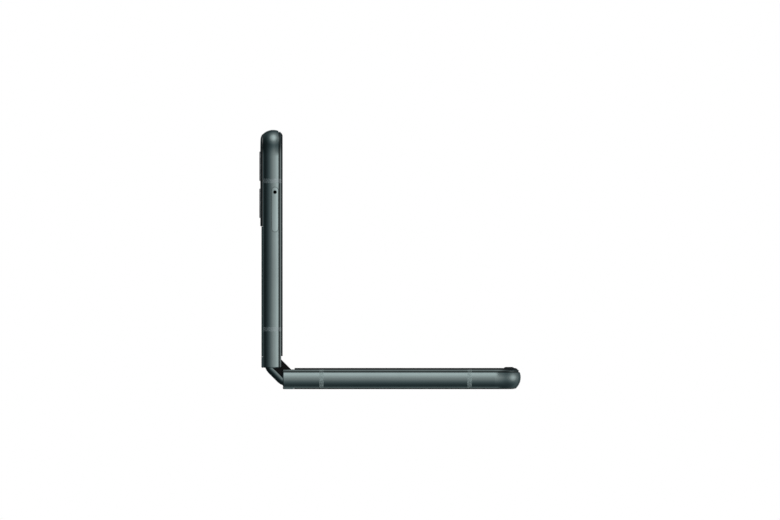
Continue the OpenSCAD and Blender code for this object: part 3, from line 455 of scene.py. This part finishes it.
FINISH = {
    METAL: ["spine_cover", "volume_key", "side_key"],
    DOOR_METAL: ["sim_tray"],
    LOWER_METAL: ["lower_frame"],
    UPPER_METAL: ["upper_frame"],
    LOWER_BAND: ["lower_antenna_bands"],
    UPPER_BAND: ["upper_antenna_bands"],
    BACK_GLASS: ["lower_back_glass", "upper_back_glass"],
    BLACK_GLASS: ["cover_glass", "cover_display"],
    SCREEN: ["lower_panel", "upper_panel"],
    BEZEL: ["lower_bezel", "upper_bezel"],
    CAP: ["spine_caps"],
    RUBBER: ["bumpers"],
    RING: ["camera_rings"],
    STEEL: ["lower_screws", "upper_screws", "lower_rotors", "upper_rotors", "lower_wing_plate",
            "upper_wing_plate", "hinge_brackets", "gear_shafts", "friction_washers"],
    BRASS: ["lower_pinions", "lower_idlers", "upper_idlers", "upper_pinions"],
    DARK: ["loudspeaker", "lower_cover", "upper_cover", "wide_camera", "ultrawide_camera", "front_camera",
           "earpiece"],
    CAN: ["usb_port", "vibration_motor", "shield_cans", "sim_socket"],
    FOIL: ["lower_battery", "upper_battery"],
    BOARD: ["lower_board", "main_board"],
    COPPER: ["charging_coil"],
    FLEX: ["key_flex"],
    FLASH: ["flash_led"],
    BAFFLE_BLACK: ["camera_lens_covers"],
}


def dress_nodes():
    for material, names in FINISH.items():
        for name in names:
            nodes[name].data.materials.clear()
            nodes[name].data.materials.append(material)


# Folding stretch of the screen: its length on each side, its faces below the inner edge, and its mesh

BEND_LEN = 3.3 * MM
PANEL_TOP = -0.2 * MM
PANEL_BACK = -0.9 * MM
HALF_FOLD = math.radians(45)
FOLD_ACROSS = 24
FOLD_ALONG = 28
FOLD_SHARP = 50
REST_ROUNDS = 40


def turn_about(centre, angle):
    return Matrix.Translation(centre) @ Matrix.Rotation(angle, 4, "Y") @ Matrix.Translation(-centre)


def smooth(t):
    t = min(1, max(0, t))
    return t * t * (3 - 2 * t)


def folding_screen(name, joint, replaced, flat, from_spine):
    """Strip built from its flat shape on the open phone, its points turned by their own shares of the half
    fold.
    """
    centre = Vector(joints[joint]["pos_m"])
    mid_z = (PANEL_TOP + PANEL_BACK) / 2
    half_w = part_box(replaced)[1].y
    across = FOLD_ACROSS
    along = FOLD_ALONG
    if from_spine:
        start = flat(0, 0, mid_z)
        end = turn_about(centre, HALF_FOLD) @ flat(BEND_LEN, 0, mid_z)
    else:
        start = flat(BEND_LEN, 0, mid_z)
        end = turn_about(centre, HALF_FOLD) @ flat(0, 0, mid_z)
    run = end - start

    def rest(point):
        found = point.copy()
        for _ in range(REST_ROUNDS):
            share = smooth((found - start).dot(run) / run.length_squared)
            found = turn_about(centre, HALF_FOLD * share) @ point
        return found

    verts = []
    for z in (PANEL_TOP, PANEL_BACK):
        for i in range(along + 1):
            for j in range(across + 1):
                y = half_w * (2 * j / across - 1)
                verts.append(tuple(rest(flat(BEND_LEN * i / along, y, z))))
    row = across + 1
    layer = (along + 1) * row
    faces = []
    for i in range(along):
        for j in range(across):
            a = i * row + j
            faces.append((a, a + 1, a + row + 1, a + row))
            faces.append((layer + a, layer + a + row, layer + a + row + 1, layer + a + 1))
    for i in range(along):
        for j in (0, across):
            a = i * row + j
            faces.append((a, a + row, layer + a + row, layer + a))
    for j in range(across):
        for i in (0, along):
            a = i * row + j
            faces.append((a, layer + a, layer + a + 1, a + 1))
    piece = mesh_piece(name, verts, faces)
    tidy_mesh(piece, FOLD_SHARP)
    piece.data.materials.append(SCREEN)
    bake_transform(piece)
    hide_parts(replaced)


def make_fold():
    def flat_lower(x, y, z):
        return Vector((lower_axis.x - AXIS_OUT + x, y, lower_axis.z + AXIS_DOWN + z))

    spine_turn = turn_about(lower_axis, HALF_FOLD)

    def flat_upper(x, y, z):
        return spine_turn @ Vector((lower_axis.x - AXIS_OUT - x, y, lower_axis.z + AXIS_DOWN + z))

    folding_screen("fold_film_lower", "lower_hinge", "display_fold_lower",
                   flat_lower, False)
    folding_screen("fold_film_upper", "upper_hinge", "display_fold_upper",
                   flat_upper, True)


# Cameras, flash, holes and contacts

# Height in millimetres above the lens cover's face: a glossy rim, then a stepped baffle down to the lens
BAFFLE = [(0, -0.5), (4.27, -0.5), (4.27, -0.04), (4.23, 0), (3.7, 0), (3.64, -0.05), (3.3, -0.07),
          (3.26, -0.13), (2.9, -0.16), (2.86, -0.22), (2.5, -0.26), (2.46, -0.34), (0, -0.34)]
# Inside this radius the baffle is smaller on the second camera
BAFFLE_INNER_R = 3.65
IRIS = [(0, -0.12), (0.8, -0.12), (0.84, -0.1), (0.8, -0.095), (0, -0.09)]
LENS_R = 2.2
LENS_RISE = 0.22
LENS_BASE = -0.36
DOME_EDGE = 0.04
CAMERAS = [("wide", "wide_camera", 1.0), ("ultrawide", "ultrawide_camera", 0.86)]
BACKWARD = (-1, 0, 0)
FORWARD = (1, 0, 0)


def middle_of(low, high):
    return (low.y + high.y) / 2, (low.z + high.z) / 2


def ring_points(profile, scale=1.0):
    return [(r * scale * MM, h * MM) for r, h in profile]


def dome(radius, rise, base, steps=10):
    """Profile of a shallow dome on a flat base."""
    points = [(0, base)]
    for k in range(steps + 1):
        turn = math.pi / 2 * k / steps
        points.append((radius * math.cos(turn), base + DOME_EDGE + rise * math.sin(turn)))
    return points


def make_cameras():
    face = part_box("camera_lens_covers")[0].x
    for name, node, scale in CAMERAS:
        centre = (face, *middle_of(*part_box(node)))
        inner = [(r * scale if 0 < r < BAFFLE_INNER_R else r, h) for r, h in BAFFLE]
        mount = lathe("lens_mount_" + name, ring_points(inner), centre, BACKWARD)
        dress(mount, BAFFLE_BLACK, "upper_half", "lens_glass", "camera_lens_covers")
        bulge = dome(LENS_R * scale, LENS_RISE, LENS_BASE)
        glass = lathe("lens_" + name, ring_points(bulge), centre, BACKWARD)
        dress(glass, LENS, "upper_half", "lens_glass")
        iris = lathe("iris_" + name, ring_points(IRIS, scale), centre, BACKWARD)
        dress(iris, BLACK_GLASS, "upper_half", "lens_glass")


# The flash's lens in millimetres: its depth, its rim, and the ridges of its face
FLASH_DEPTH = 1.4
FLASH_RIM = 0.1
FLASH_BEVEL = 0.05
FLASH_BEVEL_H = 0.03
FLASH_RIDGES = 7
RIDGE_DEPTH = 0.05
RIDGE_FACE = -0.01


def make_flash():
    low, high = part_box("flash_led")
    r = (high.y - low.y) / 2 / MM
    points = [(0, -FLASH_DEPTH), (r, -FLASH_DEPTH), (r, -FLASH_BEVEL_H), (r - FLASH_BEVEL, 0)]
    for k in range(FLASH_RIDGES):
        out = (r - FLASH_RIM) * (1 - k / FLASH_RIDGES)
        points += [(out, 0), (out - 0.02, -RIDGE_DEPTH), (out - 0.12, RIDGE_FACE)]
    points.append((0, RIDGE_FACE))
    lens = lathe("flash_lens", ring_points(points), (low.x, *middle_of(low, high)), BACKWARD)
    dress(lens, FLASH, "upper_half", "flash_lens", "flash_led")


# Holes in the free ends, in millimetres: loudspeaker and microphone, and how deep their meshes lie
SPEAKER_HOLES = 6
SPEAKER_FIRST = -11.5
SPEAKER_PITCH = 2.1
HOLE_Z = -3.15
MESH_X = 82.2
MIC_Y = 9.0
SPEAKER_MESH_R = 0.52
MIC_MESH_R = 0.37
MESH_T = 0.1
MESH_BULGE = 0.02
MESH_SIDES = 32
UPWARD = (0, 0, 1)


def mesh_disc(name, radius, place, axis, body):
    profile = ring_points([(0, -MESH_T), (radius, -MESH_T), (radius, 0), (0, MESH_BULGE)])
    dress(lathe(name, profile, place, axis, MESH_SIDES), MESH, body, "module_plastic")


def make_meshes():
    for k in range(SPEAKER_HOLES):
        place = on_lower(MESH_X, SPEAKER_FIRST - SPEAKER_PITCH * k, HOLE_Z)
        mesh_disc(f"speaker_mesh_{k + 1}", SPEAKER_MESH_R, place, FORWARD, "lower_half")
    mesh_disc("mic_mesh_lower", MIC_MESH_R, on_lower(MESH_X, MIC_Y, HOLE_Z), FORWARD, "lower_half")
    mesh_disc("mic_mesh_upper", MIC_MESH_R, on_upper(MESH_X, MIC_Y, HOLE_Z), UPWARD, "upper_half")


# The USB-C tongue: rows of contacts on both of its faces, in millimetres
CONTACTS = 12
CONTACT_PITCH = 0.5
CONTACT_W = 0.25
CONTACT_X = (77.6, 81.1)
TONGUE_HALF = 0.35
CONTACT_T = 0.03


def make_contacts():
    blocks = []
    for k in range(CONTACTS):
        y = (k - (CONTACTS - 1) / 2) * CONTACT_PITCH
        for side in (-1, 1):
            z = HOLE_Z + side * (TONGUE_HALF + CONTACT_T / 2)
            low = on_lower(CONTACT_X[0], y - CONTACT_W / 2, z - CONTACT_T / 2)
            high = on_lower(CONTACT_X[1], y + CONTACT_W / 2, z + CONTACT_T / 2)
            blocks.append((low, high))
    dress(boxes("usb_contacts", blocks), GOLD, "lower_half", "gear_brass")


# Front camera: a ring and a small lens behind the window, in millimetres
FRONT_RING = [(0, 0), (1.8, 0), (1.85, 0.02), (1.3, 0.06), (1.2, 0.03), (0, 0.03)]
FRONT_LENS_R = 1.0
FRONT_LENS_RISE = 0.07


def make_front_camera():
    low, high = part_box("front_camera")
    centre = (high.x, *middle_of(low, high))
    ring = lathe("front_camera_ring", ring_points(FRONT_RING), centre, FORWARD)
    dress(ring, BAFFLE_BLACK, "upper_half", "camera_body")
    glass = lathe("front_lens", ring_points(dome(FRONT_LENS_R, FRONT_LENS_RISE, 0.0)), centre, FORWARD)
    dress(glass, LENS, "upper_half", "lens_glass")


# Earpiece slot in the upper bezel, in millimetres: half length across, place along the half, and depths
EAR_HALF = 5.5
EAR_X = (80.35, 80.75)
EAR_Z = (0.35, 0.51)
EAR_ROUND = 0.15
EAR_ROUND_STEPS = 4


def make_earpiece():
    low = on_upper(EAR_X[0], -EAR_HALF, EAR_Z[0])
    high = on_upper(EAR_X[1], EAR_HALF, EAR_Z[1])
    slot = boxes("earpiece_mesh", [(low, high)])
    bevel = slot.modifiers.new("round", "BEVEL")
    bevel.width = EAR_ROUND * MM
    bevel.segments = EAR_ROUND_STEPS
    dress(slot, MESH, "upper_half", "module_plastic")


# Stage, in metres

CAMERA_BACK = 1
CAMERA_REACH = 10


def make_camera():
    camera = bpy.data.cameras.new("camera")
    camera.type = "ORTHO"
    camera.ortho_scale = IMAGE_W / PX_PER_MM * MM
    camera.clip_end = CAMERA_REACH
    eye = bpy.data.objects.new("camera", camera)
    bpy.context.scene.collection.objects.link(eye)
    x = inner_x + (IMAGE_W / 2 - CORNER_PX[0]) / PX_PER_MM * MM
    z = inner_z + (CORNER_PX[1] - IMAGE_H / 2) / PX_PER_MM * MM
    eye.location = (x, -CAMERA_BACK, z)
    eye.rotation_euler = (math.pi / 2, 0, 0)
    bpy.context.scene.camera = eye


# The floor lies a hair below the underside
FLOOR_Z = -0.02 * MM
FLOOR_HALF = 3
FLOOR_GREY = 0.86
FLOOR_ROUGH = 0.9


def make_floor():
    size = FLOOR_HALF
    corners = [(-size, -size, FLOOR_Z), (size, -size, FLOOR_Z), (size, size, FLOOR_Z), (-size, size, FLOOR_Z)]
    floor = mesh_piece("floor", corners, [(0, 1, 2, 3)], smooth=False)
    material = bpy.data.materials.new("floor_white")
    material.use_nodes = True
    shader = material.node_tree.nodes["Principled BSDF"]
    shader.inputs["Base Color"].default_value = (FLOOR_GREY, FLOOR_GREY, FLOOR_GREY, 1)
    shader.inputs["Roughness"].default_value = FLOOR_ROUGH
    # seen from below the floor is clear, so that the underside can be looked at
    tree = material.node_tree
    side = tree.nodes.new("ShaderNodeNewGeometry")
    clear = tree.nodes.new("ShaderNodeBsdfTransparent")
    mix = tree.nodes.new("ShaderNodeMixShader")
    tree.links.new(side.outputs["Backfacing"], mix.inputs["Fac"])
    tree.links.new(shader.outputs["BSDF"], mix.inputs[1])
    tree.links.new(clear.outputs["BSDF"], mix.inputs[2])
    tree.links.new(mix.outputs["Shader"], tree.nodes["Material Output"].inputs["Surface"])
    floor.data.materials.append(material)
    floor.visible_glossy = False


# Brightness of the studio, and the share of it by the x, the z and the y of a direction
STUDIO_LEVEL = 0.68
X_STEPS = [(-1.0, 0.24), (-0.96, 0.055), (-0.87, 0.047), (-0.7, 0.134), (-0.475, 0.317), (-0.22, 0.647),
           (0.1, 1.08), (0.45, 0.81), (0.765, 0.47), (0.92, 0.65), (1.0, 1.6)]
Z_STEPS = [(-1.0, 0.45), (-0.96, 0.11), (-0.88, 0.1), (-0.66, 0.245), (-0.425, 0.5), (-0.3, 0.69),
           (0.0, 0.97), (0.42, 0.6), (0.62, 0.38), (0.75, 0.3), (0.92, 0.65), (0.98, 1.65), (1.0, 1.85)]
REAR_STEPS = [(-1.0, 1), (0.6, 1), (0.8, 0.3), (0.95, 0.15), (1.0, 0.15)]
# The dim side is a little greener
SHADE_TINT = (0.70, 1.0, 1.09)
TINT_END = 1.6
# Where the white behind the object begins, as the y of a direction
WHITE_FROM = 0.94
WHITE_FULL = 1.0


def make_world():
    world = bpy.data.worlds.new("studio")
    bpy.context.scene.world = world
    world.use_nodes = True
    tree = world.node_tree
    tree.nodes.clear()
    new = tree.nodes.new
    join = tree.links.new
    place = new("ShaderNodeTexCoord")
    split = new("ShaderNodeSeparateXYZ")
    join(place.outputs["Generated"], split.inputs["Vector"])
    shares = [ramp_of(tree, split.outputs[axis], steps, -1, 1) for axis, steps in
              (("X", X_STEPS), ("Z", Z_STEPS), ("Y", REAR_STEPS))]
    studio = new("ShaderNodeBackground")
    join(product(tree, *shares, STUDIO_LEVEL), studio.inputs["Strength"])
    tint = new("ShaderNodeMix")
    tint.data_type = "RGBA"
    tint.inputs["A"].default_value = (*SHADE_TINT, 1)
    tint.inputs["B"].default_value = (1, 1, 1, 1)
    join(product(tree, *shares, TINT_END), tint.inputs["Factor"])
    join(tint.outputs["Result"], studio.inputs["Color"])
    white = new("ShaderNodeBackground")
    white.inputs["Color"].default_value = (1, 1, 1, 1)
    # what stands behind the object is white to the camera, and in gloss and glass
    rays = new("ShaderNodeLightPath")
    behind = new("ShaderNodeMapRange")
    behind.inputs["From Min"].default_value = WHITE_FROM
    behind.inputs["From Max"].default_value = WHITE_FULL
    join(split.outputs["Y"], behind.inputs["Value"])
    clear = brighter(tree, rays.outputs["Is Glossy Ray"], rays.outputs["Is Transmission Ray"])
    shown = brighter(tree, rays.outputs["Is Camera Ray"], product(tree, behind.outputs["Result"], clear))
    mix = new("ShaderNodeMixShader")
    join(shown, mix.inputs["Fac"])
    join(studio.outputs["Background"], mix.inputs[1])
    join(white.outputs["Background"], mix.inputs[2])
    out = new("ShaderNodeOutputWorld")
    join(mix.outputs["Shader"], out.inputs["Surface"])


# Two glowing cards in front of the flanks: how far forward they stand, and their brightness by the distance
# in metres from their left or low edge
RIGHT_CARD_Y = -0.286
HIGH_CARD_Y = -0.29
RIGHT_RISE = [(0.0, 0.0), (0.046, 0.06), (0.121, 0.52), (0.167, 0.78), (0.21, 0.86), (0.23, 0.0)]
HIGH_RISE = [(0.0, 0.0), (0.046, 0.24), (0.121, 0.77), (0.21, 0.9), (0.23, 0.0)]
CARD_SIDE = 0.012
# Corners (x, z) of the cards, and the nodes that each one lights
RIGHT_CARD = ((-0.046, -0.02), (0.184, 0.13))
HIGH_CARD = ((-0.09, -0.012), (0.09, 0.218))
LOWER_SHOWN = ["lower_frame", "lower_antenna_bands", "lower_bezel", "lower_back_glass"]
UPPER_SHOWN = ["upper_frame", "upper_antenna_bands", "upper_bezel", "upper_back_glass", "sim_tray"]


def make_card(name, y, low, high, upward, steps, half):
    """Card between two corners (x, z) that lights the nodes of one half."""
    verts = [(low[0], y, low[1]), (low[0], y, high[1]), (high[0], y, high[1]), (high[0], y, low[1])]
    card = mesh_piece(name, verts, [(0, 1, 2, 3)], smooth=False)
    material = bpy.data.materials.new(name)
    material.use_nodes = True
    tree = material.node_tree
    tree.nodes.clear()
    place = tree.nodes.new("ShaderNodeTexCoord")
    split = tree.nodes.new("ShaderNodeSeparateXYZ")
    tree.links.new(place.outputs["Object"], split.inputs["Vector"])
    along, across = ("Z", "X") if upward else ("X", "Z")
    k, j = (1, 0) if upward else (0, 1)
    rise = ramp_of(tree, split.outputs[along], [(s + low[k], level) for s, level in steps], low[k], high[k])
    sides = [(low[j], 0), (low[j] + CARD_SIDE, 1), (high[j] - CARD_SIDE, 1), (high[j], 0)]
    glow = tree.nodes.new("ShaderNodeEmission")
    tree.links.new(product(tree, rise, ramp_of(tree, split.outputs[across], sides, low[j], high[j])),
                   glow.inputs["Strength"])
    clear = tree.nodes.new("ShaderNodeBsdfTransparent")
    both = tree.nodes.new("ShaderNodeAddShader")
    tree.links.new(glow.outputs["Emission"], both.inputs[0])
    tree.links.new(clear.outputs["BSDF"], both.inputs[1])
    out = tree.nodes.new("ShaderNodeOutputMaterial")
    tree.links.new(both.outputs["Shader"], out.inputs["Surface"])
    card.data.materials.append(material)
    card.visible_camera = False
    card.visible_diffuse = False
    card.visible_shadow = False
    lit = bpy.data.collections.new(name + "_lights")
    for piece in half:
        lit.objects.link(nodes[piece])
    card.light_linking.receiver_collection = lit


# Lamps: name, place, size and power, all aimed at one point
AIM = Vector((0, 0, 0.04))
LAMPS = [("key", (0.7, -0.5, 0.9), 0.6, 9), ("fill", (-0.5, -0.9, 0.5), 0.8, 5),
         ("rear", (-0.7, 0.7, 0.8), 0.8, 8)]


def make_lamp(name, place, size, power):
    lamp = bpy.data.lights.new(name, "AREA")
    lamp.shape = "DISK"
    lamp.size = size
    lamp.energy = power
    shown = bpy.data.objects.new(name, lamp)
    bpy.context.scene.collection.objects.link(shown)
    shown.location = place
    shown.rotation_euler = (AIM - Vector(place)).to_track_quat("-Z", "Y").to_euler()
    shown.visible_glossy = False


def make_stage():
    make_camera()
    make_floor()
    make_world()
    make_card("card_right", RIGHT_CARD_Y, *RIGHT_CARD, False, RIGHT_RISE, UPPER_SHOWN)
    make_card("card_high", HIGH_CARD_Y, *HIGH_CARD, True, HIGH_RISE, LOWER_SHOWN)
    for lamp in LAMPS:
        make_lamp(*lamp)
    bpy.context.scene.view_settings.view_transform = "Standard"


make_stage()
dress_nodes()
make_fold()
make_cameras()
make_flash()
make_meshes()
make_contacts()
make_front_camera()
make_earpiece()
